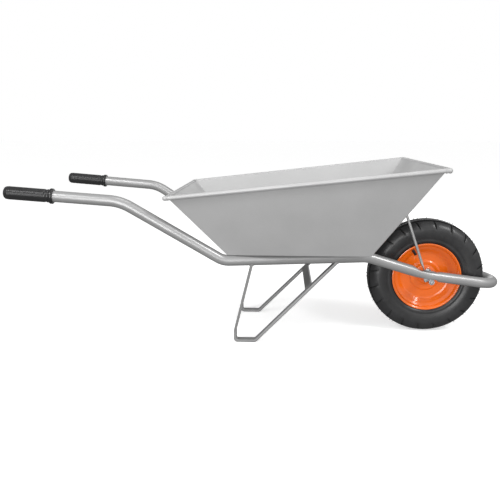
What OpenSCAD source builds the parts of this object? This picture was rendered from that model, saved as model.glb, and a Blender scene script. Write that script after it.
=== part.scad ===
// Wheelbarrow with a pressed steel tray on a one-piece bent tube frame.
// X runs forward to the wheel, Y across, Z up from the ground.
// Left is +Y, seen by the person who pushes it. All sizes are in millimetres.

/* [Wheel] */
// Outer diameter of the tyre
tyre_d = 360; // [320:1:400]
// Width of the tyre at its widest
tyre_w = 88; // [80:1:94]
// Thickness of the tyre's side walls
tyre_wall = 7; // [5:0.5:9]
// Thickness of the tyre under the tread
tread_wall = 9; // [7:0.5:12]
// Diameter over the lips of the rim
rim_lip_d = 215; // [205:1:225]
// Width over the lips of the rim
rim_w = 77; // [72:1:80]
// Sheet thickness of the rim
rim_t = 2; // [1.5:0.1:3]
// Height of the wheel's disc from the middle plane
disc_y = 15; // [10:1:20]
// Distance of the axle ahead of the origin
axle_x = 504; // [480:1:520]

/* [Axle] */
// Diameter of the fixed axle
axle_d = 12; // [10:0.5:14]
// Radial gap between the axle and the bushes
axle_fit = 0.05; // [0.02:0.01:0.1]
// Outer diameter of the hub tube
hub_d = 28; // [26:1:34]
// Wall of the hub tube
hub_wall = 3; // [2:0.5:4]
// Length of the hub tube
hub_len = 96; // [86:1:110]
// Width of each axle clip, across the barrow
clip_w = 22; // [18:1:26]
// Strap thickness of the axle clips
clip_t = 2.7; // [2:0.1:3.5]

/* [Frame tube] */
// Outer diameter of the frame tube
tube_d = 31.8; // [28:0.1:36]
// Wall of the frame tube
tube_wall = 1.6; // [1.2:0.1:2.5]
// Height of the tube's centre line under the tray
rail_z = 261; // [240:1:280]
// Height of the tube's centre line at the grip ends
handle_end_z = 461; // [430:1:500]
// Distance of the grip ends behind the origin
handle_end_x = 721; // [690:1:760]
// Half the distance between the grip ends
handle_end_y = 257; // [230:1:280]
// Half the distance between the tubes at the upper bends
handle_bend_y = 245; // [225:1:265]
// Half the distance between the tubes at the axle
axle_half_gap = 95; // [88:1:105]
// Gap between the tyre's front and the loop of the tube
loop_gap = 15.5; // [10:0.5:30]

/* [Tray] */
// Length of the tray's floor
floor_len = 412; // [360:1:440]
// Width of the tray's floor
floor_w = 406; // [396:1:460]
// Distance of the floor's rear edge behind the origin
floor_back = 107; // [90:1:120]
// Height of the rear rim over the floor
rear_h = 172; // [140:1:200]
// Height of the front rim over the floor
front_h = 253; // [210:1:300]
// Run of the rear panel for each unit of height
rear_lean = 0.911; // [0.7:0.001:1]
// Run of the front panel for each unit of height
front_lean = 0.676; // [0.5:0.001:0.8]
// Run of each side panel for each unit of height
side_lean = 0.378; // [0.3:0.001:0.42]
// Sheet thickness of the tray
sheet_t = 1.2; // [1:0.1:2]
// Diameter of the rolled rim
roll_d = 12.6; // [11:0.1:15]
// Diameter of the wire inside the rolled rim
wire_d = 9; // [7:0.1:9]

/* [Legs] */
// Width of the flat bar of the legs
leg_w = 25; // [20:1:30]
// Thickness of the flat bar
leg_t = 8; // [5:0.5:10]
// Half the distance between the feet
foot_half_gap = 152; // [130:1:180]
// Length of each foot on the ground
foot_len = 68; // [50:1:90]
// Distance of the heels behind the origin
heel_back = 93; // [80:1:110]
// Height of the upright part over the heel
heel_h = 36; // [20:1:50]
// Distance of the strut tops behind the origin
strut_top_back = 39; // [20:1:60]
// Run of the front brace for each unit of height
brace_lean = 0.98; // [0.8:0.01:1.05]
// Height of the bar between the braces
crossbar_z = 166; // [120:1:190]

/* [Grips] */
// Outer diameter of the hand grips
grip_d = 37; // [34.5:0.5:42]
// Length of the hand grips
grip_len = 138; // [110:1:150]
// Diameter of the ring at the grip's mouth
grip_ring_d = 43; // [40:1:50]

/* [Hardware] */
// Diameter of the bolts
bolt_d = 8; // [6:1:8]
// Width across the flats of the nuts
nut_af = 13; // [10:1:13]
// Height of the nuts
nut_h = 6.5; // [5:0.5:8]
// Radial gap round a bolt in its hole
bolt_gap = 0.2; // [0.1:0.1:0.5]
// Diameter of the stay rods
stay_d = 8; // [6:0.5:10]

/* [Hidden] */
$fn = 64;
seat_gap = 0.2;
tube_sides = 16;
clear = 0.3;

tube_r = tube_d / 2;
axle_z = tyre_d / 2;
floor_z = rail_z + tube_r + seat_gap;
floor_front_x = floor_len - floor_back;

// Frame tube: the nose slopes down to the loop, the rails converge forward.
plan_slope = 0.1675;
nose_slope = 0.161;
nose_over_axle = 17.5;
nose_kink_back = 9.5;
rail_front_x = 305;
rail_back_x = -119;
handle_bend_x = -401;
handle_bend_z = 436.5;
loop_x = axle_x + tyre_d / 2 + loop_gap + tube_r;
function rail_y(x) = axle_half_gap - plan_slope * (x - axle_x);
function nose_z(x) = axle_z + nose_over_axle - nose_slope * (x - axle_x);
kink_x = axle_x - nose_kink_back;
loop_y = rail_y(loop_x);
frame_path = [
    [-handle_end_x, handle_end_y, handle_end_z],
    [handle_bend_x, handle_bend_y, handle_bend_z],
    [rail_back_x, rail_y(rail_back_x), rail_z],
    [rail_front_x, rail_y(rail_front_x), rail_z],
    [kink_x, rail_y(kink_x), nose_z(kink_x)],
    [loop_x, loop_y, nose_z(loop_x)],
    [loop_x, 0, nose_z(loop_x)]
];
loop_r = loop_y / tan(bend(frame_path, 5) / 2);
bend_radii = [0, 130, 66, 100, 60, loop_r, 0];

// Seats pressed into the tube over the axle.
nose_angle = atan(nose_slope);
clip_r = axle_d / 2 + axle_fit + clip_t;
seat_low = clip_r + seat_gap;
seat_top = nose_over_axle * cos(nose_angle) + tube_r - 3;
seat_front = 14;
seat_back = 42;
bolt_back = axle_d / 2 + clip_t + 8.3;
seat_bolt_y = plan_slope * bolt_back;

// Tray rim, laid out in its own plane from the rear roll to the front roll.
roll_r = roll_d / 2;
roll_off = 0.75 * roll_r;
rim_rear_x = -floor_back - rear_lean * rear_h - roll_off * sqrt(1 + rear_lean * rear_lean);
rim_front_x = floor_front_x + front_lean * front_h + roll_off * sqrt(1 + front_lean * front_lean);
side_out = roll_off * sqrt(1 + side_lean * side_lean);
rim_rear_y = floor_w / 2 + side_lean * rear_h + side_out;
rim_front_y = floor_w / 2 + side_lean * front_h + side_out;
rim_run = rim_front_x - rim_rear_x;
rim_angle = atan((front_h - rear_h) / rim_run);
rim_len = rim_run / cos(rim_angle);
rim_flare = atan((rim_front_y - rim_rear_y) / rim_len);

// Cross members and the bolts that hold the tray down on them.
member_w = 30;
member_h = 20;
member_wall = 2;
member_x = [-20, floor_front_x - 70];
tray_bolt_y = 60;
head_d = 20;
head_h = 4;

// Wheel parts.
hub_r = hub_d / 2;
bush_ring_h = 2.5;
bush_len = 18;
bush_end = hub_len / 2 + bush_ring_h;
clip_in = axle_half_gap - clip_w / 2;
clip_out = axle_half_gap + clip_w / 2;
lip_r = rim_lip_d / 2 - rim_t / 2;
lip_y = rim_w / 2 - rim_t / 2;
seat_r = lip_r - 5.5;
dish_line = [
    [hub_r + 0.1, disc_y + 9],
    [hub_r + 7, disc_y + 9],
    [hub_r + 13, disc_y + 4],
    [hub_r + 20, disc_y + 2],
    [hub_r + 32, disc_y + 2],
    [hub_r + 36, disc_y],
    [70, disc_y],
    [76, disc_y + 2],
    [seat_r - 7, lip_y - 12],
    [seat_r - 2, lip_y - 7],
    [seat_r, lip_y - 2],
    [seat_r + 3, lip_y],
    [lip_r, lip_y - 0.5]
];
band_r = 89;
band_half = lookup(band_r, [dish_line[7], dish_line[8]]) - rim_t;
bead_r = seat_r + rim_t / 2 + 0.4;
bead_y = lip_y - rim_t / 2 - 3.2;
wide_r = (bead_r + tyre_d / 2) / 2;
tube_room = (tyre_d / 2 - tread_wall - 1 - band_r - 3) / 2;
tube_section_r = min(tyre_w / 2 - tyre_wall - 3, tube_room);
tube_ring_r = tyre_d / 2 - tread_wall - 1 - tube_section_r;
valve_angle = 118;
valve_d = 10;
valve_dir = [-18, 0, 20];
valve_root = [tube_ring_r - tube_section_r + 4, 0, 12];
valve_len = 30;
cap_len = 9;

// ---- Helpers ----

function unit(v) = v / norm(v);
function bend(p, i) = acos(unit(p[i] - p[i - 1]) * unit(p[i + 1] - p[i]));
function tangent(p, r, i) = r[i] > 0 ? r[i] * tan(bend(p, i) / 2) : 0;
function leave(p, r, i) = p[i] + unit(p[i + 1] - p[i]) * tangent(p, r, i);
function reach(p, r, i) = p[i] - unit(p[i] - p[i - 1]) * tangent(p, r, i);
function left_of(v) = [-v[1], v[0]];
function mitre(p, i) =
    i == 0 ? left_of(unit(p[1] - p[0])) :
    i == len(p) - 1 ? left_of(unit(p[i] - p[i - 1])) :
    let (a = left_of(unit(p[i] - p[i - 1])), b = left_of(unit(p[i + 1] - p[i])))
    (a + b) / (1 + a * b);
function beside(p, d) = [for (i = [0:len(p) - 1]) p[i] + d * mitre(p, i)];
function backwards(p) = [for (i = [len(p) - 1:-1:0]) p[i]];

// Places its children with their Z axis along a direction
module point_along(at, dir) {
    z = unit(dir);
    x = unit(cross([0, 1, 0], z));
    y = cross(z, x);
    multmatrix([
        [x[0], y[0], z[0], at[0]],
        [x[1], y[1], z[1], at[1]],
        [x[2], y[2], z[2], at[2]],
        [0, 0, 0, 1]
    ]) children();
}

// Round bar from one point to another
module bar(a, b, r) {
    point_along(a, b - a) cylinder(h = norm(b - a), r = r);
}

// Draws its children on both sides
module both_sides() {
    children();
    mirror([0, 1, 0]) children();
}

// Wheel frame: the children's Z axis becomes the axle, pointing left
module on_axle() {
    translate([axle_x, 0, axle_z]) rotate([-90, 0, 0]) children();
}

// Clip frame: X along the nose of the tube, Z square to it, over the axle's centre
module on_seat(side) {
    translate([axle_x, side * axle_half_gap, axle_z])
        rotate([0, nose_angle, 0]) children();
}

module ring(outer_r, inner_r, h) {
    difference() {
        cylinder(h = h, r = outer_r);
        translate([0, 0, -1]) cylinder(h = h + 2, r = inner_r);
    }
}

module nut() {
    difference() {
        cylinder(h = nut_h, d = nut_af / cos(30), $fn = 6);
        translate([0, 0, -1]) cylinder(h = nut_h + 2, r = bolt_d / 2 + 0.05);
    }
}

// Bolt with a shallow round head over z = 0 and its shank below
module round_bolt(shank) {
    cap = (head_d * head_d / 4 + head_h * head_h) / (2 * head_h);
    intersection() {
        translate([0, 0, head_h - cap]) sphere(r = cap, $fn = 96);
        cylinder(h = head_h, d = head_d);
    }
    translate([0, 0, -shank]) cylinder(h = shank + 0.5, d = bolt_d);
}

// Bolt with a hexagon head over z = 0 and its shank below
module hex_bolt(shank) {
    cylinder(h = 5.3, d = nut_af / cos(30), $fn = 6);
    translate([0, 0, -shank]) cylinder(h = shank + 0.5, d = bolt_d);
}

// ---- Frame ----

// Centre points and directions along one side of the tube, as [point, direction]
function bend_stations(p, radii, i, steps) =
    let (a = unit(p[i] - p[i - 1]), b = unit(p[i + 1] - p[i]),
         inward = unit(b - a * (a * b)), c = reach(p, radii, i) + inward * radii[i])
    [for (k = [0:steps]) let (turn = bend(p, i) * k / steps)
        [c + radii[i] * (a * sin(turn) - inward * cos(turn)), a * cos(turn) + inward * sin(turn)]];
function straight_stations(at, dir, steps) = [for (d = steps) [at + dir * d, dir]];

rise = unit(frame_path[4] - frame_path[3]);
nose = unit(frame_path[5] - frame_path[4]);
half_stations = concat(
    [[frame_path[0], unit(frame_path[1] - frame_path[0])]],
    bend_stations(frame_path, bend_radii, 1, 6),
    bend_stations(frame_path, bend_radii, 2, 6),
    bend_stations(frame_path, bend_radii, 3, 5),
    straight_stations(reach(frame_path, bend_radii, 4), rise, [-52, -40, -30, -20, -13, -6]),
    bend_stations(frame_path, bend_radii, 4, 2),
    straight_stations(leave(frame_path, bend_radii, 4), nose, [6, 12, 18, 22, 26, 33, 42]),
    bend_stations(frame_path, bend_radii, 5, 9)
);
function flip(v) = [v[0], -v[1], v[2]];
stations = concat(half_stations, [for (i = [len(half_stations) - 2:-1:0])
    [flip(half_stations[i][0]), -flip(half_stations[i][1])]]);

// Moves a point of the tube's wall onto the pressed seats over and under the axle
seat_up = [sin(nose_angle), 0, cos(nose_angle)];
seat_on = [cos(nose_angle), 0, -sin(nose_angle)];
function pressed(q, wall) =
    let (v = q - [axle_x, q[1], axle_z], s = v * seat_on, h = v * seat_up,
         past = max(0, s - seat_front), before = max(0, -s - seat_back),
         low = seat_low + wall - past, high = seat_top - 0.05 - wall + (past + before) / 2)
    abs(s) > 60 ? q : q + seat_up * (min(max(h, low), high) - h);
function tube_ring(station, r, wall) =
    let (side = unit(cross(station[1], [0, 0, 1])), up = cross(side, station[1]))
    [for (k = [0:tube_sides - 1]) let (t = 360 * (k + 0.5) / tube_sides)
        pressed(station[0] + r * (side * cos(t) + up * sin(t)), wall)];

// The whole tube, bent from one length, with its two pressed seats
module bent_tube() {
    n = len(stations);
    m = tube_sides;
    rings = concat(
        [for (st = stations) tube_ring(st, tube_r, 0)],
        [for (st = stations) tube_ring(st, tube_r - tube_wall, tube_wall)]
    );
    wall_faces = [for (layer = [0, 1], i = [0:n - 2], k = [0:m - 1])
        let (a = (layer * n + i) * m + k, b = (layer * n + i) * m + (k + 1) % m)
        each layer == 0 ? [[a, b + m, a + m], [a, b, b + m]] : [[a, a + m, b + m], [a, b + m, b]]];
    end_faces = [for (end = [0, n - 1], k = [0:m - 1])
        let (a = end * m + k, b = end * m + (k + 1) % m, c = a + n * m, d = b + n * m)
        each end == 0 ? [[a, d, b], [a, c, d]] : [[a, b, d], [a, d, c]]];
    polyhedron([for (r = rings) each r], concat(wall_faces, end_faces), convexity = 8);
}

module frame_tube() {
    color("silver") difference() {
        bent_tube();
        both_sides() on_seat(1) translate([-bolt_back, seat_bolt_y, -10])
            cylinder(h = 80, r = bolt_d / 2 + bolt_gap);
    }
}

// Room for the frame tube where something is fitted against it
module rail_room() {
    path = [for (i = [2, 3]) frame_path[i]];
    both_sides() bar(path[0], path[1], tube_r + seat_gap);
}

module cross_member(x) {
    half = rail_y(x - member_w / 2);
    color("silver") difference() {
        translate([x - member_w / 2, -half, floor_z - member_h])
            cube([member_w, 2 * half, member_h]);
        translate([x - member_w / 2 + member_wall, -half - 1, floor_z - member_h + member_wall])
            cube([member_w - 2 * member_wall, 2 * half + 2, member_h - 2 * member_wall]);
        rail_room();
        for (y = [-tray_bolt_y, tray_bolt_y])
            translate([x, y, floor_z - member_h - 1])
                cylinder(h = member_h + 2, r = bolt_d / 2 + bolt_gap);
    }
}

module grip() {
    dir = unit(frame_path[1] - frame_path[0]);
    end_wall = 4;
    edge = 8;
    color([0.09, 0.09, 0.1]) point_along(frame_path[0] - dir * end_wall, dir) difference() {
        union() {
            rotate_extrude() intersection() {
                union() {
                    translate([0, edge]) square([grip_d / 2, grip_len - edge]);
                    square([grip_d / 2 - edge, edge + 1]);
                    translate([grip_d / 2 - edge, edge]) circle(r = edge);
                }
                square([grip_d, grip_len]);
            }
            translate([0, 0, grip_len - 5]) cylinder(h = 5, d = grip_ring_d);
        }
        translate([0, 0, end_wall - seat_gap]) cylinder(h = grip_len, r = tube_r + seat_gap);
    }
}

// ---- Legs ----

// Thin level slice of a flat bar whose front face is at x
module slice(x, y, z, run) {
    translate([x - run, y - leg_w / 2, z]) cube([run, leg_w, 0.01]);
}

module leg() {
    strut_lean = (heel_back - strut_top_back) / (rail_z - heel_h);
    strut_run = leg_t * sqrt(1 + strut_lean * strut_lean);
    brace_run = leg_t * sqrt(1 + brace_lean * brace_lean);
    toe_x = foot_len - heel_back;
    top = rail_z - 1;
    brace_top_x = toe_x + brace_lean * top;
    color([0.62, 0.62, 0.63]) difference() {
        union() {
            translate([-heel_back, foot_half_gap - leg_w / 2, 0]) cube([foot_len, leg_w, leg_t]);
            translate([-heel_back, foot_half_gap - leg_w / 2, 0]) cube([leg_t, leg_w, heel_h]);
            hull() {
                slice(leg_t - heel_back, foot_half_gap, heel_h - 0.01, leg_t);
                slice(leg_t - strut_top_back, rail_y(-strut_top_back), top, strut_run);
            }
            hull() {
                slice(toe_x, foot_half_gap, 0, brace_run);
                slice(brace_top_x, rail_y(brace_top_x), top, brace_run);
            }
        }
        rail_room();
    }
}

// Flat bar welded in between the two front braces
module leg_crossbar() {
    toe_x = foot_len - heel_back;
    brace_run = leg_t * sqrt(1 + brace_lean * brace_lean);
    x = toe_x + brace_lean * crossbar_z - brace_run / 2;
    share = crossbar_z / (rail_z - 1);
    brace_y = foot_half_gap + (rail_y(toe_x + brace_lean * (rail_z - 1)) - foot_half_gap) * share;
    half = brace_y - leg_w / 2 - 0.6;
    color([0.55, 0.55, 0.56]) translate([x, 0, crossbar_z])
        rotate([0, -atan(1 / brace_lean), 0])
            translate([-leg_w / 2, -half, -leg_t / 2]) cube([leg_w, 2 * half, leg_t]);
}

// ---- Tray ----

function rim_side(u) = rim_rear_y + (rim_front_y - rim_rear_y) * u / rim_len;
function rim_corner(u, side, d) = [u, side * (rim_side(u) + d / cos(rim_flare))];
function rim_quad(d) = [
    rim_corner(-d, -1, d), rim_corner(rim_len + d, -1, d),
    rim_corner(rim_len + d, 1, d), rim_corner(-d, 1, d)
];

module on_rim() {
    translate([rim_rear_x, 0, floor_z + rear_h]) rotate([0, -rim_angle, 0]) children();
}

// Carries a section of [outward, upward] points all round the rim, mitred at the corners
module rim_loop(section) {
    m = len(section);
    points = [for (i = [0:3], p = section)
        let (corner = rim_quad(p[0])[i]) [corner[0], corner[1], p[1]]];
    faces = [for (i = [0:3], k = [0:m - 1])
        let (a = i * m + k, b = i * m + (k + 1) % m, c = (i + 1) % 4 * m + k,
             d = (i + 1) % 4 * m + (k + 1) % m)
        each [[a, d, c], [a, b, d]]];
    on_rim() polyhedron(points, faces, convexity = 6);
}

function round_section(r, steps) = [for (k = [0:steps - 1])
    let (t = 360 * k / steps) r * [cos(t), sin(t)]];

// Sheet rolled nearly shut, with its seam along the underside
function rolled_section(r, wall, steps) =
    let (gap = 4, from = gap - 90, run = 360 - 2 * gap)
    concat(
        [for (k = [0:steps]) let (t = from + run * k / steps) r * [cos(t), sin(t)]],
        [for (k = [steps:-1:0]) let (t = from + run * k / steps) (r - wall) * [cos(t), sin(t)]]
    );

// Tray body, drawn in by a wall and up to a height over the rim plane
module tray_body(wall, over) {
    rear = wall * sqrt(1 + rear_lean * rear_lean);
    front = wall * sqrt(1 + front_lean * front_lean);
    side = wall * sqrt(1 + side_lean * side_lean);
    rh = rear_h + over;
    fh = front_h + over;
    z = floor_z + wall;
    half = floor_w / 2 - side + side_lean * wall;
    top = max(rh, fh) + 1;
    x0 = rear - floor_back - rear_lean * wall;
    x1 = floor_front_x - front + front_lean * wall;
    intersection() {
        translate([0, floor_w, 0]) rotate([90, 0, 0]) linear_extrude(2 * floor_w) polygon([
            [x0, z], [x1, z],
            [x1 + front_lean * (fh - wall), floor_z + fh],
            [x0 - rear_lean * (rh - wall), floor_z + rh]
        ]);
        translate([-1000, 0, 0]) rotate([90, 0, 90]) linear_extrude(2000) polygon([
            [-half, z], [half, z],
            [half + side_lean * (top - wall), floor_z + top],
            [-half - side_lean * (top - wall), floor_z + top]
        ]);
    }
}

module tray() {
    color([0.74, 0.74, 0.75]) difference() {
        union() {
            difference() {
                tray_body(0, 0);
                tray_body(sheet_t, 30);
                rim_loop(round_section(roll_r - sheet_t / 2, 20));
            }
            rim_loop(rolled_section(roll_r, sheet_t, 20));
        }
        for (x = member_x, y = [-tray_bolt_y, tray_bolt_y])
            translate([x, y, floor_z - 1]) cylinder(h = 10, r = bolt_d / 2 + bolt_gap);
        both_sides() on_stay_tab() translate([0, 0, -20])
            cylinder(h = 40, r = bolt_d / 2 + bolt_gap);
    }
}

module rim_wire() {
    color("gray") rim_loop(round_section(wire_d / 2, 16));
}

// ---- Front stays ----

stay_y = 91;
tab_w = 18;
tab_t = 3;
tab_len = 32;
stay_top_h = 165;
panel_angle = atan(front_lean);

// Frame on the outside of the front panel: Z outward, X up the panel
module on_stay_tab() {
    translate([floor_front_x + front_lean * stay_top_h, stay_y, floor_z + stay_top_h])
        rotate([0, panel_angle + 90, 0]) rotate([0, 0, 180]) children();
}

module stay(side) {
    s = sin(nose_angle);
    c = cos(nose_angle);
    foot_mid = seat_top + tab_t / 2;
    foot_back = seat_back - 12.7;
    foot_x = axle_x - foot_back * c + foot_mid * s;
    foot_z = axle_z + foot_back * s + foot_mid * c;
    foot_y = axle_half_gap + seat_bolt_y;
    drop = tab_len / 2 + 2;
    up = [sin(panel_angle), 0, cos(panel_angle)];
    outward = [cos(panel_angle), 0, -sin(panel_angle)];
    tab_at = [floor_front_x + front_lean * stay_top_h, stay_y, floor_z + stay_top_h];
    top_at = tab_at - up * drop + outward * tab_t / 2;
    color("silver") mirror([0, side > 0 ? 0 : 1, 0]) difference() {
        union() {
            bar([foot_x, foot_y, foot_z], top_at, stay_d / 2);
            on_seat(1) translate([-foot_back - 4.8, seat_bolt_y - 9, seat_top])
                cube([foot_back + 10, 18, tab_t]);
            on_stay_tab() translate([-tab_len / 2 - 4, -tab_w / 2, 0])
                cube([tab_len + 4, tab_w, tab_t]);
        }
        on_seat(1) translate([-bolt_back, seat_bolt_y, 0])
            cylinder(h = 80, r = bolt_d / 2 + bolt_gap);
        on_stay_tab() translate([0, 0, -10]) cylinder(h = 40, r = bolt_d / 2 + bolt_gap);
        // Flats where the rod's ends lie on the tube and on the panel
        on_seat(1) translate([-100, -30, seat_top - 50]) cube([110, 60, 50]);
        on_stay_tab() translate([-60, -20, -30]) cube([120, 40, 30]);
    }
}

// ---- Axle and its clips ----

module axle() {
    color("lightgray") on_axle() difference() {
        translate([0, 0, -clip_out - 2]) cylinder(h = 2 * clip_out + 4, d = axle_d);
        for (z = [-clip_out - 3, clip_out - 2]) translate([0, 0, z]) cylinder(h = 5, d = 4);
    }
}

// Strap that wraps the axle and runs back under the tube to its bolt
module axle_clip(side) {
    color("gainsboro") on_seat(side) difference() {
        translate([0, clip_w / 2, 0]) rotate([90, 0, 0]) linear_extrude(clip_w) difference() {
            union() {
                circle(r = clip_r);
                translate([-bolt_back - 9, clip_r - clip_t]) square([bolt_back + 9, clip_t]);
            }
            circle(r = axle_d / 2 + axle_fit);
        }
        translate([-bolt_back, side * seat_bolt_y, 0])
            cylinder(h = 40, r = bolt_d / 2 + bolt_gap);
    }
}

module axle_spacer(side) {
    start = bush_end + clear;
    color("lightgray") on_axle() mirror([0, 0, side > 0 ? 0 : 1]) translate([0, 0, start])
        ring(axle_d / 2 + 2.2, axle_d / 2 + axle_fit, clip_in - start - 0.1);
}

module clip_bolts() {
    grip_h = seat_top + tab_t - (clip_r - clip_t) + nut_h + 3;
    color("gainsboro") both_sides() on_seat(1)
        translate([-bolt_back, seat_bolt_y, seat_top + tab_t]) hex_bolt(grip_h);
}

module clip_nuts() {
    color("gainsboro") both_sides() on_seat(1)
        translate([-bolt_back, seat_bolt_y, clip_r - clip_t - nut_h]) nut();
}

module tray_bolts() {
    color("gainsboro") for (x = member_x, y = [-tray_bolt_y, tray_bolt_y])
        translate([x, y, floor_z + sheet_t]) round_bolt(sheet_t + member_h + nut_h + 4);
}

module tray_nuts() {
    color("gainsboro") for (x = member_x, y = [-tray_bolt_y, tray_bolt_y])
        translate([x, y, floor_z - member_h - nut_h]) nut();
}

module stay_bolts() {
    color("gainsboro") both_sides() on_stay_tab() translate([0, 0, -sheet_t])
        mirror([0, 0, 1]) round_bolt(sheet_t + tab_t + nut_h + 3);
}

module stay_nuts() {
    color("gainsboro") both_sides() on_stay_tab() translate([0, 0, tab_t]) nut();
}

// ---- Wheel ----

// Half width of the tyre's outside at radius r, shrunk by a wall
function tyre_half(r, side, crown) =
    let (top = tyre_d / 2 - crown, w = tyre_w / 2 - side)
    r < wide_r
        ? bead_y - side + (w - bead_y + side) * sin(90 * (r - bead_r) / (wide_r - bead_r))
        : w * pow(1 - pow(min(1, (r - wide_r) / (top - wide_r)), 2.6), 1 / 2.6);

function tyre_edge(side, crown, low, steps) =
    let (top = tyre_d / 2 - crown)
    [for (i = [0:steps]) let (r = low + (top - low) * sin(90 * i / steps))
        [r, tyre_half(r, side, crown)]];

module tyre_section(side, crown, low) {
    edge = tyre_edge(side, crown, low, 14);
    flipped = [for (p = backwards(edge)) if (p[1] > 0) [p[0], -p[1]]];
    polygon(concat(edge, flipped));
}

module tyre() {
    color([0.1, 0.1, 0.11]) on_axle() rotate_extrude($fn = 128) difference() {
        tyre_section(0, 0, bead_r);
        tyre_section(tyre_wall, tread_wall, bead_r - 1);
    }
}

module inner_tube() {
    color([0.2, 0.2, 0.2]) on_axle() difference() {
        rotate_extrude($fn = 128) translate([tube_ring_r, 0]) difference() {
            circle(r = tube_section_r);
            circle(r = tube_section_r - 2);
        }
        on_valve() translate([0, 0, -8]) cylinder(h = 20, d = 4);
    }
}

// Valve frame in the wheel frame: Z runs out along the stem, on the right side
module on_valve() {
    rotate([0, 0, -valve_angle]) mirror([0, 0, 1]) point_along(valve_root, valve_dir) children();
}

module rim_dish(side) {
    sheet = concat(beside(dish_line, rim_t / 2), backwards(beside(dish_line, -rim_t / 2)));
    color([0.95, 0.42, 0.1]) on_axle() difference() {
        mirror([0, 0, side > 0 ? 0 : 1]) rotate_extrude($fn = 128) polygon(sheet);
        if (side < 0) on_valve() cylinder(h = 60, d = valve_d + 1);
    }
}

module rim_band() {
    color([0.95, 0.42, 0.1]) on_axle() difference() {
        translate([0, 0, -band_half]) ring(band_r + rim_t / 2, band_r - rim_t / 2, 2 * band_half);
        on_valve() cylinder(h = 60, d = valve_d + 1);
    }
}

module hub() {
    color("lightgray") on_axle() translate([0, 0, -hub_len / 2])
        ring(hub_r, hub_r - hub_wall, hub_len);
}

module bush(side) {
    bore = axle_d / 2 + axle_fit;
    color("ivory") on_axle() mirror([0, 0, side > 0 ? 0 : 1]) difference() {
        union() {
            translate([0, 0, hub_len / 2 - bush_len])
                cylinder(h = bush_len, r = hub_r - hub_wall - 0.02);
            translate([0, 0, hub_len / 2]) cylinder(h = bush_ring_h, r = hub_r - 1);
        }
        cylinder(h = hub_len, r = bore);
    }
}

module valve_stem() {
    color([0.15, 0.15, 0.15]) on_axle() difference() {
        on_valve() translate([0, 0, -8]) cylinder(h = valve_len + 8, d = valve_d);
        rotate_extrude($fn = 128) translate([tube_ring_r, 0]) circle(r = tube_section_r + 0.05);
    }
}

module valve_cap() {
    color([0.12, 0.12, 0.12]) on_axle() on_valve() translate([0, 0, valve_len])
        cylinder(h = cap_len, d = valve_d - 1);
}

frame_tube();
cross_member(member_x[0]);  // cross_member_rear
cross_member(member_x[1]);  // cross_member_front
tray();
rim_wire();
grip();  // grip_left
mirror([0, 1, 0]) grip();  // grip_right
leg();  // leg_left
mirror([0, 1, 0]) leg();  // leg_right
leg_crossbar();
stay(1);  // stay_left
stay(-1);  // stay_right
axle();
axle_clip(1);  // axle_clip_left
axle_clip(-1);  // axle_clip_right
axle_spacer(1);  // axle_spacer_left
axle_spacer(-1);  // axle_spacer_right
clip_bolts();
clip_nuts();
tray_bolts();
tray_nuts();
stay_bolts();
stay_nuts();
tyre();
inner_tube();
rim_dish(1);  // rim_dish_left
rim_dish(-1);  // rim_dish_right
rim_band();
hub();
bush(1);  // bush_left
bush(-1);  // bush_right
valve_stem();
valve_cap();
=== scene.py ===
from math import atan, cos, exp, pi, radians, sin, sqrt, tan

import bmesh
import bpy
from mathutils import Matrix, Vector


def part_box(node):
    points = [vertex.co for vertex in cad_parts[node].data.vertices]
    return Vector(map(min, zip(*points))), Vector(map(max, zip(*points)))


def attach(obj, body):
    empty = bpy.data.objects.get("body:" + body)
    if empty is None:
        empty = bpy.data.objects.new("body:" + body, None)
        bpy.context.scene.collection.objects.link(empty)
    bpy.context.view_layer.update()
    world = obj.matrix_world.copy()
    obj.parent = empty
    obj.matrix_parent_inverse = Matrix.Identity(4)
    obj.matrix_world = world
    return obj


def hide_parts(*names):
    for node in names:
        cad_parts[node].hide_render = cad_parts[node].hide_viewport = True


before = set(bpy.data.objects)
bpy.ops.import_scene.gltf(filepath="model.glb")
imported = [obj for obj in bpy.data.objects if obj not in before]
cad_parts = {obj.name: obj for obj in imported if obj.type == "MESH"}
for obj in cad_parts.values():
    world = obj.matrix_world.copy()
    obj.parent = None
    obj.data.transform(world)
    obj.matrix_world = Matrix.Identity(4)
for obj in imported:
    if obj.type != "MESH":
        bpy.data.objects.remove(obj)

# Wheelbarrow. Meshes are drawn in millimetres and scaled to metres when each piece is finished.
# X runs forward to the wheel, Y to the left, Z up from the ground.

MM = 0.001
X, Y, Z = Vector((1, 0, 0)), Vector((0, 1, 0)), Vector((0, 0, 1))
SIDES = {"left": 1, "right": -1}

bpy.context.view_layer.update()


def node_box(node):
    """Lowest and highest corners of a CAD node, in millimetres."""
    low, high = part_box(node)
    return low / MM, high / MM


# ---- Sizes, as the CAD has them ----

tyre_low, tyre_high = node_box("tyre")
tube_front = node_box("frame_tube")[1].x
AXLE = Vector(((tyre_low.x + tyre_high.x) / 2, 0, (tyre_low.z + tyre_high.z) / 2))
TYRE_R = (tyre_high.z - tyre_low.z) / 2
TYRE_HALF = tyre_high.y
TUBE_R = 15.9
HANDLE_END, HANDLE_BEND = (-721, 257, 461), (-401, 245, 436.5)
RAIL_BACK_X, RAIL_FRONT_X = -119, 305
RAIL_Z = 261
AXLE_HALF_GAP = 95
AXLE_R = 6
AXLE_DROP = 17.5
NOSE_SLOPE = 0.161
NOSE_ANGLE = atan(NOSE_SLOPE)
PLAN_SLOPE = 0.1675
FLOOR_Z = node_box("tray")[0].z
FLOOR_BACK, FLOOR_FRONT = -107, 305
FLOOR_HALF = 203
REAR_H, FRONT_H = 172, 253
REAR_LEAN, FRONT_LEAN, SIDE_LEAN = 0.911, 0.676, 0.378
SHEET = 1.2
ROLL_R = 6.3
LEG_W, LEG_T = 25, 8
FOOT_Y = 152
HEEL_X, TOE_X = -93, -25
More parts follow.
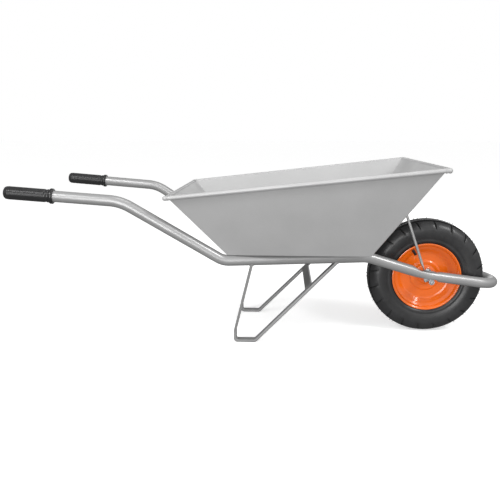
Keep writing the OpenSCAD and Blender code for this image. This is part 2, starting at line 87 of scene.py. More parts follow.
HEEL_H = 36
STRUT_TOP_X = -39
BRACE_LEAN = 0.98
CROSSBAR_Z = 166
GRIP_LEN = 138
CLIP_T = 2.7
CLIP_W = 22
CLIP_R = AXLE_R + CLIP_T
BOLT_BACK = AXLE_R + CLIP_T + 8.3
SEAT_TOP = AXLE_DROP * cos(NOSE_ANGLE) + TUBE_R - 3
SEAT_LOW = CLIP_R + 0.25
SEAT_FRONT, SEAT_BACK = 14, 42
NUT_AF, NUT_H = 13, 6.5
NUT_CHAMFER = 0.9
THREAD_R, THREAD_ROOT_R, THREAD_PITCH = 3.95, 3.45, 1.25
STAY_Y = 91
STAY_TOP_H = 165
TRAY_BOLT_Y = 60
MEMBER_X = (-20, 235)
MEMBER_W, MEMBER_H, MEMBER_CORNER = 30, 20, 3


def rail_y(x):
    """Distance of the left rail from the middle."""
    return AXLE_HALF_GAP - PLAN_SLOPE * (x - AXLE.x)


def nose_z(x):
    """Height of the nose's centre line."""
    return AXLE.z + AXLE_DROP - NOSE_SLOPE * (x - AXLE.x)


def seat_frame(side):
    """Frame on the axle at a clip: X along the nose of the tube, Z square to it."""
    return Matrix.Translation(AXLE + Y * side * AXLE_HALF_GAP) @ Matrix.Rotation(NOSE_ANGLE, 4, "Y")


def axle_frame(side):
    """Frame at the wheel's centre whose Z axis points out along the axle."""
    return along(AXLE, Y * side)


# ---- Mesh tools ----

def along(at, direction, across=None):
    """Frame at a point whose Z axis points along a direction."""
    z = direction.normalized()
    side = across or (Y if abs(z.y) < 0.9 else X)
    x = side.cross(z).normalized()
    y = z.cross(x)
    return Matrix(((x.x, y.x, z.x, at.x), (x.y, y.y, z.y, at.y), (x.z, y.z, z.z, at.z), (0, 0, 0, 1)))


def rounded(path, radii, steps=6):
    """A path with an arc at each of its inner corners."""
    path = [Vector(p) for p in path]
    points = [path[0]]
    for before, here, after, radius in zip(path, path[1:], path[2:], radii):
        a, b = (here - before).normalized(), (after - here).normalized()
        turn = a.angle(b)
        if radius == 0 or turn < 0.01:
            points.append(here)
            continue
        inward = (b - a * a.dot(b)).normalized()
        centre = here - a * radius * tan(turn / 2) + inward * radius
        for k in range(steps + 1):
            t = turn * k / steps
            points.append(centre + radius * (a * sin(t) - inward * cos(t)))
    return points + [path[-1]]


def refined(points, step):
    """The same path with more points, so that none are further apart than a step."""
    fine = [points[0]]
    for a, b in zip(points, points[1:]):
        cuts = max(1, round((b - a).length / step))
        fine += [a.lerp(b, (k + 1) / cuts) for k in range(cuts)]
    return fine


def path_frames(points, across=Z, scales=None):
    """A frame at each point of a path: Z along the path, X or Y scaled where a section narrows."""
    frames = []
    for k, here in enumerate(points):
        ahead = points[min(k + 1, len(points) - 1)] - points[max(k - 1, 0)]
        width, height = scales[k] if scales else (1, 1)
        frames.append(along(here, ahead, across) @ Matrix.Diagonal((height, width, 1, 1)))
    return frames


def circle(radius, steps=32):
    return [(radius * cos(2 * pi * k / steps), radius * sin(2 * pi * k / steps)) for k in range(steps)]


def rounded_box(width, height, radius, steps=3):
    """Outline of a rectangle with rounded corners, as a closed list of points."""
    points = []
    for k, (sx, sy) in enumerate(((1, 1), (-1, 1), (-1, -1), (1, -1))):
        for i in range(steps + 1):
            t = pi / 2 * (k + i / steps)
            points.append((sx * (width / 2 - radius) + radius * cos(t),
                           sy * (height / 2 - radius) + radius * sin(t)))
    return points


def sweep(bm, outline, frames, closed=True):
    """Extrudes an outline from frame to frame, and caps the ends of a closed one."""
    ring = [bm.verts.new(frames[0] @ Vector((x, y, 0))) for x, y in outline]
    pairs = list(zip(ring, ring[1:])) + ([(ring[-1], ring[0])] if closed else [])
    edges = [bm.edges.new(pair) for pair in pairs]
    if closed:
        bmesh.ops.contextual_create(bm, geom=edges)
    for before, after in zip(frames, frames[1:]):
        made = bmesh.ops.extrude_edge_only(bm, edges=edges)["geom"]
        verts = [g for g in made if isinstance(g, bmesh.types.BMVert)]
        fresh = set(verts)
        edges = [g for g in made if isinstance(g, bmesh.types.BMEdge) and fresh.issuperset(g.verts)]
        bmesh.ops.transform(bm, matrix=after @ before.inverted(), verts=verts)
    if closed:
        bmesh.ops.contextual_create(bm, geom=edges)


def lathe(bm, outline, place=Matrix.Identity(4), steps=64, closed=False):
    """Spins an outline of (radius, height) points about the Z axis of a frame."""
    verts = [bm.verts.new((r, 0, h)) for r, h in outline]
    pairs = list(zip(verts, verts[1:])) + ([(verts[-1], verts[0])] if closed else [])
    edges = [bm.edges.new(pair) for pair in pairs]
    before = set(bm.verts) - set(verts)
    bmesh.ops.spin(bm, geom=verts + edges, axis=(0, 0, 1), cent=(0, 0, 0), angle=2 * pi,
                   steps=steps, use_merge=True)
    turned = [v for v in bm.verts if v not in before]
    bmesh.ops.remove_doubles(bm, verts=turned, dist=0.001)
    turned = [v for v in bm.verts if v not in before]
    bmesh.ops.transform(bm, matrix=place, verts=turned)


def soft_outline(points, radius, steps=3, closed=False):
    """Outline with its corners rounded, as (radius, height) pairs."""
    flat = [Vector((r, h, 0)) for r, h in points]
    if closed:
        middle = (flat[0] + flat[-1]) / 2
        flat = [middle] + flat + [middle]
    soft = rounded(flat, [radius] * (len(flat) - 2), steps)
    return [(p.x, p.y) for p in (soft[:-1] if closed else soft)]


def weld(bm, points, radius=2.4):
    """Bead of weld metal along a path, with the ripples a welder's hand leaves."""
    fine = refined([Vector(p) for p in points], radius * 0.45)
    last = len(fine) - 1
    scales = []
    for k in range(len(fine)):
        ripple = 1 + 0.13 * sin(k * 2.1) + 0.07 * sin(k * 0.83)
        taper = min(1, 0.3 + 0.35 * min(k, last - k))
        scales.append((ripple * taper, ripple * taper))
    frames = path_frames(fine, (fine[-1] - fine[0]).orthogonal(), scales)
    sweep(bm, circle(radius, 10), frames)


def piece(name, bm, material, body, replaces=(), crease=38):
    """Finishes a mesh, scales it to metres and hangs it on its CAD body."""
    bmesh.ops.remove_doubles(bm, verts=bm.verts, dist=0.005)
    bmesh.ops.recalc_face_normals(bm, faces=bm.faces)
    bmesh.ops.scale(bm, vec=(MM, MM, MM), verts=bm.verts)
    for face in bm.faces:
        face.smooth = True
    for edge in bm.edges:
        edge.smooth = len(edge.link_faces) == 2 and edge.calc_face_angle() < radians(crease)
    mesh = bpy.data.meshes.new(name)
    bm.to_mesh(mesh)
    bm.free()
    mesh.materials.append(material)
    made = bpy.data.objects.new(name, mesh)
    bpy.context.scene.collection.objects.link(made)
    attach(made, body)
    if replaces:
        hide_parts(*replaces)
    return made


# ---- Materials ----

def linear(code):
    """sRGB hex colour as linear RGBA."""
    channels = [int(code[k:k + 2], 16) / 255 for k in (1, 3, 5)]
    return [c / 12.92 if c <= 0.04045 else ((c + 0.055) / 1.055) ** 2.4 for c in channels] + [1]


def add(tree, kind, inputs=None, **settings):
    """Adds a node with its settings; an input that is given a socket is linked to it."""
    node = tree.nodes.new(kind)
    for name, value in settings.items():
        setattr(node, name, value)
    for name, value in (inputs or {}).items():
        if isinstance(value, bpy.types.NodeSocket):
            tree.links.new(value, node.inputs[name])
        else:
            node.inputs[name].default_value = value
    return node


def blank(name):
    """New material with its empty tree, and the place of each point on the piece."""
    material = bpy.data.materials.new(name)
    material.use_nodes = True
    tree = material.node_tree
    tree.nodes.clear()
    return material, tree, add(tree, "ShaderNodeTexCoord").outputs["Object"]


def finish(tree, shader):
    """Links a shader to the material's output."""
    add(tree, "ShaderNodeOutputMaterial", {"Surface": shader.outputs["BSDF"]})


# A Mix node's sockets for two colours and their mixture have the names of those for numbers,
# so they are given by their place.
MIX_A, MIX_B, MIXED = 6, 7, 2

# Sizes of the patterns, in millimetres. The speckle of sprayed paint is well under a millimetre
# across, and it is drawn at 3.5 mm so that it shows; the orange peel is near its real size.
PAINT_CLOUD, PAINT_SPECK, ORANGE_PEEL, SHEET_WAVE = 110, 3.5, 2.2, 160
# Rubber blooms in patches about as wide as a thumb.
BLOOM = 30
# Zinc crystals are about this wide. The marks of turning and drawing are under a tenth of a
# millimetre apart, and they are drawn at 1.2 mm so that they show.
SPANGLE, TOOL_MARK = 4, 1.2


def enamel(name, light, dark, roughness, metallic, coat, wave):
    """Sprayed enamel on steel: faint clouds where the coat varies, fine orange peel, and a long
    soft wave in the steel under it, as deep as given in millimetres, that bends the reflections."""
    material, tree, place = blank(name)
    cloud = add(tree, "ShaderNodeTexNoise", {"Vector": place, "Scale": 1 / (PAINT_CLOUD * MM), "Detail": 4})
    speck = add(tree, "ShaderNodeTexNoise", {"Vector": place, "Scale": 1 / (PAINT_SPECK * MM), "Detail": 3})
    peel = add(tree, "ShaderNodeTexNoise", {"Vector": place, "Scale": 1 / (ORANGE_PEEL * MM), "Detail": 2})
    swell = add(tree, "ShaderNodeTexNoise", {"Vector": place, "Scale": 1 / (SHEET_WAVE * MM), "Detail": 1})
    both = add(tree, "ShaderNodeMath", {0: speck.outputs["Fac"], 1: 0.35, 2: cloud.outputs["Fac"]},
               operation="MULTIPLY_ADD")
    tone = add(tree, "ShaderNodeMapRange", {"Value": both.outputs[0], "From Min": 0.45, "From Max": 0.95})
    colour = add(tree, "ShaderNodeMix", {"Factor": tone.outputs[0], MIX_A: linear(dark),
                                         MIX_B: linear(light)}, data_type="RGBA")
    gloss = add(tree, "ShaderNodeMapRange", {"Value": cloud.outputs["Fac"], "From Min": 0.3, "From Max": 0.7,
                                             "To Min": roughness + 0.04, "To Max": roughness - 0.03})
    long_wave = add(tree, "ShaderNodeBump", {"Height": swell.outputs["Fac"], "Strength": 0.5,
                                             "Distance": wave * MM})
    skin = add(tree, "ShaderNodeBump", {"Height": peel.outputs["Fac"], "Strength": 0.12, "Distance": 0.3 * MM,
                                        "Normal": long_wave.outputs[0]})
    shader = add(tree, "ShaderNodeBsdfPrincipled", {
        "Base Color": colour.outputs[MIXED], "Metallic": metallic, "Roughness": gloss.outputs[0],
        "Coat Weight": coat, "Coat Roughness": 0.08, "Normal": skin.outputs[0]})
    finish(tree, shader)
    return material


def moulded(name, colour, bloomed, roughness, grain):
    """Moulded rubber or plastic, coloured right through: a paler bloom in patches, and a grain from
    the mould, as wide as given in millimetres."""
    material, tree, place = blank(name)
    bloom = add(tree, "ShaderNodeTexNoise", {"Vector": place, "Scale": 1 / (BLOOM * MM), "Detail": 6,
                                             "Roughness": 0.6})
    fine = add(tree, "ShaderNodeTexNoise", {"Vector": place, "Scale": 1 / (grain * MM), "Detail": 3})
    tone = add(tree, "ShaderNodeMapRange", {"Value": bloom.outputs["Fac"], "From Min": 0.35,
                                            "From Max": 0.75})
    mixed = add(tree, "ShaderNodeMix", {"Factor": tone.outputs[0], MIX_A: linear(colour),
                                        MIX_B: linear(bloomed)}, data_type="RGBA")
    dull = add(tree, "ShaderNodeMapRange", {"Value": bloom.outputs["Fac"], "From Min": 0.3, "From Max": 0.7,
                                            "To Min": roughness - 0.05, "To Max": roughness + 0.08})
    skin = add(tree, "ShaderNodeBump", {"Height": fine.outputs["Fac"], "Strength": 0.25,
                                        "Distance": 0.2 * MM})
    shader = add(tree, "ShaderNodeBsdfPrincipled", {
        "Base Color": mixed.outputs[MIXED], "Roughness": dull.outputs[0], "Normal": skin.outputs[0]})
    finish(tree, shader)
    return material


def bare_metal(name, light, dark, roughness):
    """Plated or drawn steel: bright metal with cloudy spangle and faint tool marks."""
    material, tree, place = blank(name)
    spangle = add(tree, "ShaderNodeTexVoronoi", {"Vector": place, "Scale": 1 / (SPANGLE * MM)})
    streak = add(tree, "ShaderNodeTexNoise", {"Vector": place, "Scale": 1 / (TOOL_MARK * MM), "Detail": 3})
    mixed = add(tree, "ShaderNodeMix", {"Factor": spangle.outputs["Distance"], MIX_A: linear(light),
                                        MIX_B: linear(dark)}, data_type="RGBA")
    dull = add(tree, "ShaderNodeMapRange", {"Value": streak.outputs["Fac"], "To Min": roughness - 0.08,
                                            "To Max": roughness + 0.1})
    skin = add(tree, "ShaderNodeBump", {"Height": streak.outputs["Fac"], "Strength": 0.2,
                                        "Distance": 0.1 * MM})
    shader = add(tree, "ShaderNodeBsdfPrincipled", {
        "Base Color": mixed.outputs[MIXED], "Metallic": 1.0, "Roughness": dull.outputs[0],
        "Normal": skin.outputs[0]})
    finish(tree, shader)
    return material


# Silver enamel with metal flake, sprayed on drawn tube: a soft bright line runs along each bend.
FRAME_PAINT = enamel("silver_enamel_tube", "#a9a9a9", "#9e9e9e", 0.33, 0.4, 0.15, 0.4)
# Grey enamel on rolled sheet: flat and even, a little satin, with the sheet's waves in its sheen.
TRAY_PAINT = enamel("grey_enamel_sheet", "#b8b8b8", "#b0b0b0", 0.42, 0.15, 0.08, 2)
# The same grey enamel on hot-rolled flat bar, with its colour painted darker as painted shade: the legs and
# crossbar stand in the shade under the tray.
LEG_SHADED_PAINT = enamel("grey_enamel_bar_painted_shade", "#8e8e8e", "#848484", 0.42, 0.25, 0.08, 0.5)
# Orange gloss enamel, baked on pressed steel: a deep colour under sharp highlights.
RIM_PAINT = enamel("orange_gloss_enamel", "#f77314", "#f06c10", 0.2, 0.0, 0.6, 0.4)
# Vulcanised carbon-black rubber: near black with a satin shine. The mould's grain is finer than
# the 0.9 mm that it is drawn at.
TYRE_RUBBER = moulded("tyre_rubber", "#262627", "#303031", 0.34, 0.9)
# Butyl rubber, as in inner tubes: black and dull.
BUTYL = moulded("butyl_rubber", "#232324", "#2c2c2d", 0.55, 1.2)
# Dipped PVC, flame-polished: black and shiny, with only a slow unevenness.
GRIP_PVC = moulded("grip_pvc", "#1c1c1d", "#242425", 0.2, 3)
# Injection-moulded polypropylene cap: black with a dull shine.
CAP_PLASTIC = moulded("cap_plastic", "#1a1a1a", "#222222", 0.38, 1)
# Nylon bushes, turned: off-white and waxy.
NYLON = moulded("white_nylon", "#d9d5c8", "#cfcabb", 0.45, 1.5)
# Bright zinc plate on bolts and pressings: pale, bluish and cloudy.
ZINC = bare_metal("bright_zinc_plate", "#d2d4d6", "#b4b7ba", 0.3)
# Drawn steel wire: darker than the plate, with the die's marks.
WIRE_STEEL = bare_metal("drawn_steel_wire", "#a7a7a8", "#8f9091", 0.35)


# ---- Frame tube ----

def tube_path():
    """Centre line of the tube, from the left grip round the wheel to the right grip."""
    loop_x = tube_front - TUBE_R
    kink_x = AXLE.x - 9.5
    half = [Vector(HANDLE_END), Vector(HANDLE_BEND)]
    half += [Vector((x, rail_y(x), RAIL_Z)) for x in (RAIL_BACK_X, RAIL_FRONT_X)]
    half += [Vector((x, rail_y(x), nose_z(x))) for x in (kink_x, loop_x)]
    turn = (half[5] - half[4]).angle(-Y)
    radii = [130, 66, 100, 60, half[5].y / tan(turn / 2)]
    other = [Vector((p.x, -p.y, p.z)) for p in reversed(half)]
    return half + other, radii + radii[::-1]


TUBE_PATH, TUBE_BENDS = tube_path()
HANDLE = (TUBE_PATH[1] - TUBE_PATH[0]).normalized()


def pressed(point):
    """Moves a point of the tube's wall onto the flats pressed over and under the axle."""
    on, up = Vector((cos(NOSE_ANGLE), 0, -sin(NOSE_ANGLE))), Vector((sin(NOSE_ANGLE), 0, cos(NOSE_ANGLE)))
    v = point - Vector((AXLE.x, point.y, AXLE.z))
    s, h = v.dot(on), v.dot(up)
    if abs(s) > 70:
        return point
    past, before = max(0, s - SEAT_FRONT), max(0, -s - SEAT_BACK)
    low, high = SEAT_LOW - past, SEAT_TOP - 0.05 + (past + before) / 2
    return point + up * (min(max(h, low), high) - h)


def make_frame_tube():
    bm = bmesh.new()
    points = refined(rounded(TUBE_PATH, TUBE_BENDS, 14), 6)
    sweep(bm, circle(TUBE_R, 40), path_frames(points))
    for v in bm.verts:
        v.co = pressed(v.co)
    piece("frame_tube_bent", bm, FRAME_PAINT, "frame", ["frame_tube"], crease=60)


def member_frames(x):
    """Frames along a cross member, from rail to rail."""
    half = rail_y(x) - 4
    z = FLOOR_Z - MEMBER_H / 2
    return path_frames([Vector((x, -half, z)), Vector((x, half, z))], Z)


def make_cross_members():
    for name, x in zip(("rear", "front"), MEMBER_X):
        bm = bmesh.new()
        sweep(bm, rounded_box(MEMBER_W, MEMBER_H, MEMBER_CORNER), member_frames(x))
        for side in (1, -1):
            edge = side * (rail_y(x) - TUBE_R + 0.5)
            for face in (-1, 1):
                wx = x + face * MEMBER_W / 2
                foot = FLOOR_Z - MEMBER_H - 1
                weld(bm, [(wx, edge, foot + 5), (wx, edge + side * 4, foot)], 2)
        piece(f"cross_member_{name}_box", bm, FRAME_PAINT, "frame", [f"cross_member_{name}"])


# ---- Grips ----

def grip_outline():
    """Half outline of a grip, from its closed end to its mouth, with moulded rings."""
    r, ring_r, bore_r = 18.5, 21.5, TUBE_R + 0.1
    nose_r, end_wall = 9, 6
    groove, pitch, start, stop = 0.25, 3.2, 12, 116
    points = [(0, 0), (r - nose_r, 0)]
    for turn in (radians(a) for a in (20, 40, 60, 78)):
        points.append((r - nose_r + 8.6 * sin(turn), nose_r - nose_r * cos(turn)))
    for k in range(int((stop - start) / pitch)):
        h = start + k * pitch
        points += [(r - groove, h), (r, h + 0.4), (r, h + 2.4), (r - groove, h + 2.8)]
    points += [(r - 1.2, stop + 1), (r - 1.2, stop + 4), (r, stop + 5.5), (r, stop + 8.5)]
    points += [(r - 0.9, stop + 9.6), (r - 0.6, stop + 11.5)]
    points += [(ring_r - 1.6, stop + 12.6), (ring_r, stop + 14.2)]
    points += [(ring_r, GRIP_LEN - 1.6), (ring_r - 1.4, GRIP_LEN), (bore_r, GRIP_LEN)]
    return points + [(bore_r, end_wall), (0, end_wall)]


def make_grips():
    for name, side in SIDES.items():
        bm = bmesh.new()
        direction = Vector((HANDLE.x, side * HANDLE.y, HANDLE.z))
        end = Vector((TUBE_PATH[0].x, side * TUBE_PATH[0].y, TUBE_PATH[0].z))
        lathe(bm, grip_outline(), along(end - direction * 4, direction), 56)
        piece(f"grip_{name}_moulded", bm, GRIP_PVC, "frame", [f"grip_{name}"], crease=75)


# ---- Legs ----

def leg_points(side):
    """Centre line of a leg's flat bar: strut, heel, foot and brace."""
    run = LEG_T / 2
    brace_run = LEG_T * sqrt(1 + BRACE_LEAN ** 2) / 2
    top = RAIL_Z - 4
    brace_x = TOE_X - brace_run + BRACE_LEAN * top
    return [Vector(p) for p in (
        (STRUT_TOP_X + run, side * rail_y(STRUT_TOP_X), top), (HEEL_X + run, side * FOOT_Y, HEEL_H),
        (HEEL_X + run, side * FOOT_Y, run), (TOE_X - brace_run + 2.6, side * FOOT_Y, run),
        (brace_x, side * rail_y(brace_x), top))]


def coped_weld(bm, x, y, lean):
    """Weld where a flat bar meets the round underside of the rail."""
    arc = [(x + lean * (TUBE_R - sqrt(TUBE_R ** 2 - dy ** 2)), y + dy, RAIL_Z - sqrt(TUBE_R ** 2 - dy ** 2))
           for dy in range(-11, 12, 2)]
    weld(bm, arc, 2.2)


def make_legs():
    for name, side in SIDES.items():
        bm = bmesh.new()
        path = leg_points(side)
        points = refined(rounded(path, [14, 8, 10], 6), 25)
        frames = [along(f.translation, f.to_3x3().col[2], -Y) for f in path_frames(points, -Y)]
        sweep(bm, rounded_box(LEG_T, LEG_W, 0.9), frames)
        strut_y, brace_x = path[0].y, path[4].x
        for face in (-1, 1):
            coped_weld(bm, STRUT_TOP_X + 1 + face * 4.2, strut_y, 0)
            coped_weld(bm, brace_x - 11 + face * 6, side * rail_y(brace_x), 0)
        piece(f"leg_{name}_bar", bm, LEG_SHADED_PAINT, "frame", [f"leg_{name}"])


def make_crossbar():
    low, high = node_box("leg_crossbar")
    half = high.y + 0.6
    tilt = atan(1 / BRACE_LEAN)
    centre_x = (low.x + high.x) / 2
    bm = bmesh.new()
    place = Matrix.Translation((centre_x, 0, CROSSBAR_Z)) @ Matrix.Rotation(-tilt, 4, "Y")
    frames = [place @ along(Vector((0, y, 0)), Y, Z) for y in (-half, half)]
    sweep(bm, rounded_box(LEG_W, LEG_T, 0.9), frames)
    for y in (-half, half):
        for z in (-3, 3):
            weld(bm, [place @ Vector((x, y, z)) for x in (-11, 0, 11)], 2)
    piece("leg_crossbar_bar", bm, LEG_SHADED_PAINT, "frame", ["leg_crossbar"])


# ---- Tray ----

def rim_point(end, side, out=0.0):
    """Point on the tray's rim: end is 0 at the rear and 1 at the front, out is past the panel's face."""
    if end:
        x, h = FLOOR_FRONT + FRONT_LEAN * FRONT_H + out * sqrt(1 + FRONT_LEAN ** 2), FRONT_H
    else:
        x, h = FLOOR_BACK - REAR_LEAN * REAR_H - out * sqrt(1 + REAR_LEAN ** 2), REAR_H
    y = FLOOR_HALF + SIDE_LEAN * h + out * sqrt(1 + SIDE_LEAN ** 2)
    return Vector((x, side * y, FLOOR_Z + h))


def make_tray_pan():
    bm = bmesh.new()
    corners = ((0, -1), (1, -1), (1, 1), (0, 1))
    low = [bm.verts.new(((FLOOR_FRONT if end else FLOOR_BACK), side * FLOOR_HALF, FLOOR_Z))
           for end, side in corners]
    high = [bm.verts.new(rim_point(end, side)) for end, side in corners]
    bm.faces.new(low[::-1])
    for k in range(4):
        n = (k + 1) % 4
        bm.faces.new((low[k], low[n], high[n], high[k]))
    folds = [e for e in bm.edges if len(e.link_faces) == 2]
    bmesh.ops.bevel(bm, geom=folds, offset=2.4, offset_type="OFFSET", affect="EDGES", segments=4,
                    profile=0.5, material=-1)
    bmesh.ops.recalc_face_normals(bm, faces=bm.faces)
    down = sum(f.normal.z * f.calc_area() for f in bm.faces)
    if down > 0:
        bmesh.ops.reverse_faces(bm, faces=bm.faces)
    bmesh.ops.solidify(bm, geom=bm.faces, thickness=SHEET)
    piece("tray_pan", bm, TRAY_PAINT, "frame", ["tray"])


def domed(points, radius, steps=5):
    """Path points and section scales that round off both ends of a bar."""
    start, stop = points[0], points[-1]
    back, ahead = (points[0] - points[1]).normalized(), (points[-1] - points[-2]).normalized()
    turns = [pi / 2 * k / steps for k in range(steps)]
    head = [(start + back * radius * cos(t), sin(t) if t else 0.05) for t in turns]
    tail = [(stop + ahead * radius * cos(t), sin(t) if t else 0.05) for t in reversed(turns)]
    middle = [(p, 1) for p in points]
    both = head + middle + tail
    return [p for p, _ in both], [(s, s) for _, s in both]


def make_tray_rim():
    """The four rolled edges; the front and rear rolls run past the side ones and end in a knob of weld."""
    roll_out = 0.75 * ROLL_R
    bm = bmesh.new()
    for side in (-1, 1):
        rear, front = rim_point(0, side, roll_out), rim_point(1, side, roll_out)
        way = (front - rear).normalized()
        points, scales = domed([rear - way * 1.5, rear + way * 14, front - way * 14, front - way * 3], ROLL_R)
        sweep(bm, circle(ROLL_R, 28), path_frames(points, Z, scales))
    for end, radius in ((0, ROLL_R - 0.6), (1, ROLL_R)):
        right, left = rim_point(end, -1, roll_out), rim_point(end, 1, roll_out)
        points, scales = domed([right + Y * radius * 0.2, left - Y * radius * 0.2], radius)
        sweep(bm, circle(radius, 28), path_frames(points, Z, scales))
    for side in (-1, 1):
        knob = rim_point(1, side, roll_out) - Y * side * 0.9 - Z * 1.0
        bmesh.ops.create_uvsphere(bm, u_segments=24, v_segments=14, radius=7.2,
                                  matrix=Matrix.Translation(knob))
        for end, gap in ((1, 9), (0, 7)):
            near, far = rim_point(end, side, roll_out), rim_point(1 - end, side, roll_out)
            way = (far - near).normalized()
            ring = along(near + way * gap, way)
            arc = [ring @ Vector((x, y, 0)) for x, y in circle(6.2, 14)[:13]]
            weld(bm, arc, 1.5)
    piece("tray_rolled_rim", bm, TRAY_PAINT, "frame")


# ---- Front stays ----

def tab_frame(side):
    """Frame on the outside of the front panel: Z outward, X up the panel."""
    at = Vector((FLOOR_FRONT + FRONT_LEAN * STAY_TOP_H, side * STAY_Y, FLOOR_Z + STAY_TOP_H))
    up = Vector((FRONT_LEAN, 0, 1)).normalized()
    out = Vector((1, 0, -FRONT_LEAN)).normalized()
    return Matrix.Translation(at) @ Matrix((up, out.cross(up), out)).transposed().to_4x4()


def make_stays():
    """Rods whose ends are hammered flat and bent to lie on the tube and on the tray's front."""
    rod_r, flat_w, flat_t = 4, 18, 3
    for name, side in SIDES.items():
        seat, tab = seat_frame(side), tab_frame(side)
        bolt_y = side * PLAN_SLOPE * BOLT_BACK
        foot_z = SEAT_TOP + flat_t / 2
        low = [seat @ Vector((x, bolt_y, foot_z)) for x in (5, -BOLT_BACK, -29)]
        high = [tab @ Vector((x, 0, flat_t / 2)) for x in (-20, 0, 16)]
        path = rounded(low[:1] + [low[2], high[0]] + high[2:], [7, 16], 8)
        fine = refined(path, 3)
        scales = []
        for p in fine:
            reach = max(0, min((p - low[2]).length, (p - high[0]).length) - 4)
            beyond = (p - low[0]).length < (low[2] - low[0]).length or (p - high[2]).length < 36
            mix = 1 if beyond else max(0, 1 - reach / 22)
            mix = mix * mix * (3 - 2 * mix)
            scales.append((1 + mix * (flat_w / (2 * rod_r) - 1), 1 + mix * (flat_t / (2 * rod_r) - 1)))
        bm = bmesh.new()
        frames = [along(f.translation, f.col[2].to_3d(), Y) @ Matrix.Diagonal((t, w, 1, 1))
                  for f, (w, t) in zip(path_frames(fine, Y), scales)]
        sweep(bm, circle(rod_r, 24), frames)
        piece(f"stay_{name}_rod", bm, FRAME_PAINT, "frame", [f"stay_{name}"], crease=60)


# ---- Fasteners ----

def hex_body(bm, place, height, chamfer_low=False):
    """Hexagon with its corners turned off, standing on a frame."""
    across = NUT_AF / cos(pi / 6)
    made = bmesh.ops.create_cone(bm, cap_ends=True, segments=6, radius1=across / 2, radius2=across / 2,
                                 depth=height, matrix=Matrix.Translation((0, 0, height / 2)))["verts"]
    rims = {e for v in made for e in v.link_edges if all(abs(w.co.z - height) < 0.01 for w in e.verts)}
    if chamfer_low:
        rims |= {e for v in made for e in v.link_edges if all(abs(w.co.z) < 0.01 for w in e.verts)}
    found = set(bm.verts) - set(made)
    bmesh.ops.bevel(bm, geom=list(rims), offset=NUT_CHAMFER, affect="EDGES", segments=2, profile=0.5,
                    material=-1)
    bmesh.ops.transform(bm, matrix=place, verts=[v for v in bm.verts if v not in found])


def thread_end(bm, place, length):
    """End of a bolt, with its thread and a turned point."""
    points = [(0, 0)]
    for k in range(int(length / THREAD_PITCH) - 1):
        points += [(THREAD_R, k * THREAD_PITCH), (THREAD_ROOT_R, (k + 0.5) * THREAD_PITCH)]
    points += [(3.9, length - 1), (3.0, length), (0, length)]
    lathe(bm, points, place, 24)


def domed_head(bm, place):
    """Shallow round head of a coach bolt."""
    points = [(9.9 * cos(t), 0.5 + 3.5 * sin(t)) for t in (pi / 2 * k / 9 for k in range(10))]
    lathe(bm, [(0, 0), (9.6, 0)] + points, place, 40)


def clip_hardware(kind):
    """The bolts or the nuts that hold the axle clips and the stays' feet, on both sides."""
    bm = bmesh.new()
    for side in SIDES.values():
        seat = seat_frame(side)
        at = Vector((-BOLT_BACK, side * PLAN_SLOPE * BOLT_BACK, 0))
        if kind == "bolts":
            hex_body(bm, seat @ Matrix.Translation(at + Z * (SEAT_TOP + 3)), 5.3)
            below = seat @ Matrix.Translation(at + Z * (CLIP_R - CLIP_T + 1)) @ Matrix.Rotation(pi, 4, "X")
            thread_end(bm, below, NUT_H + 4)
        else:
            place = seat @ Matrix.Translation(at + Z * (CLIP_R - CLIP_T - NUT_H))
            hex_body(bm, place, NUT_H, True)
    piece(f"clip_{kind}_m8", bm, ZINC, "frame", [f"clip_{kind}"])


def tray_hardware(kind):
    """The coach bolts or the nuts that hold the tray down on its cross members."""
    bm = bmesh.new()
    for x in MEMBER_X:
        for y in (-TRAY_BOLT_Y, TRAY_BOLT_Y):
            if kind == "bolts":
                domed_head(bm, Matrix.Translation((x, y, FLOOR_Z + SHEET)))
                below = Matrix.Translation((x, y, FLOOR_Z - 19)) @ Matrix.Rotation(pi, 4, "X")
                thread_end(bm, below, NUT_H + 4.5)
            else:
                hex_body(bm, Matrix.Translation((x, y, FLOOR_Z - 20 - NUT_H)), NUT_H, True)
    piece(f"tray_{kind}_m8", bm, ZINC, "frame", [f"tray_{kind}"])


def stay_hardware(kind):
    """The coach bolts or the nuts at the stays' upper ends."""
    bm = bmesh.new()
    for side in SIDES.values():
        tab = tab_frame(side)
        if kind == "bolts":
            domed_head(bm, tab @ Matrix.Translation((0, 0, -SHEET)) @ Matrix.Rotation(pi, 4, "X"))
            thread_end(bm, tab @ Matrix.Translation((0, 0, 2)), NUT_H + 4)
        else:
            hex_body(bm, tab @ Matrix.Translation((0, 0, 3)), NUT_H, True)
    piece(f"stay_{kind}_m8", bm, ZINC, "frame", [f"stay_{kind}"])


# ---- Axle and clips ----

def make_axle():
    half = node_box("axle")[1].y
    hole = [(0, half - 5), (1.8, half - 4), (2, half - 0.8), (2.8, half)]
    points = hole + [(AXLE_R - 0.8, half), (AXLE_R, half - 0.8)]
    bm = bmesh.new()
    lathe(bm, points + [(r, -h) for r, h in reversed(points)], axle_frame(1), 48)
    piece("axle_rod", bm, ZINC, "frame", ["axle"])


def make_clips():
    """Straps bent round the axle, with a tail that runs back to the bolt."""
    mid_r = CLIP_R - CLIP_T / 2
    turns = [pi / 2 - radians(a) for a in range(0, 350, 10)]
    path = [Vector((-BOLT_BACK - 9, 0, mid_r)), Vector((-BOLT_BACK, 0, mid_r)), Vector((-4, 0, mid_r))]
    path += [Vector((mid_r * cos(t), 0, mid_r * sin(t))) for t in turns]
    for name, side in SIDES.items():
        bm = bmesh.new()
        seat = seat_frame(side)
        frames = [seat @ along(f.translation, f.col[2].to_3d(), -Y) for f in path_frames(path, -Y)]
        sweep(bm, rounded_box(CLIP_T, CLIP_W, 0.6, 2), frames)
        piece(f"axle_clip_{name}_strap", bm, ZINC, "frame", [f"axle_clip_{name}"], crease=50)


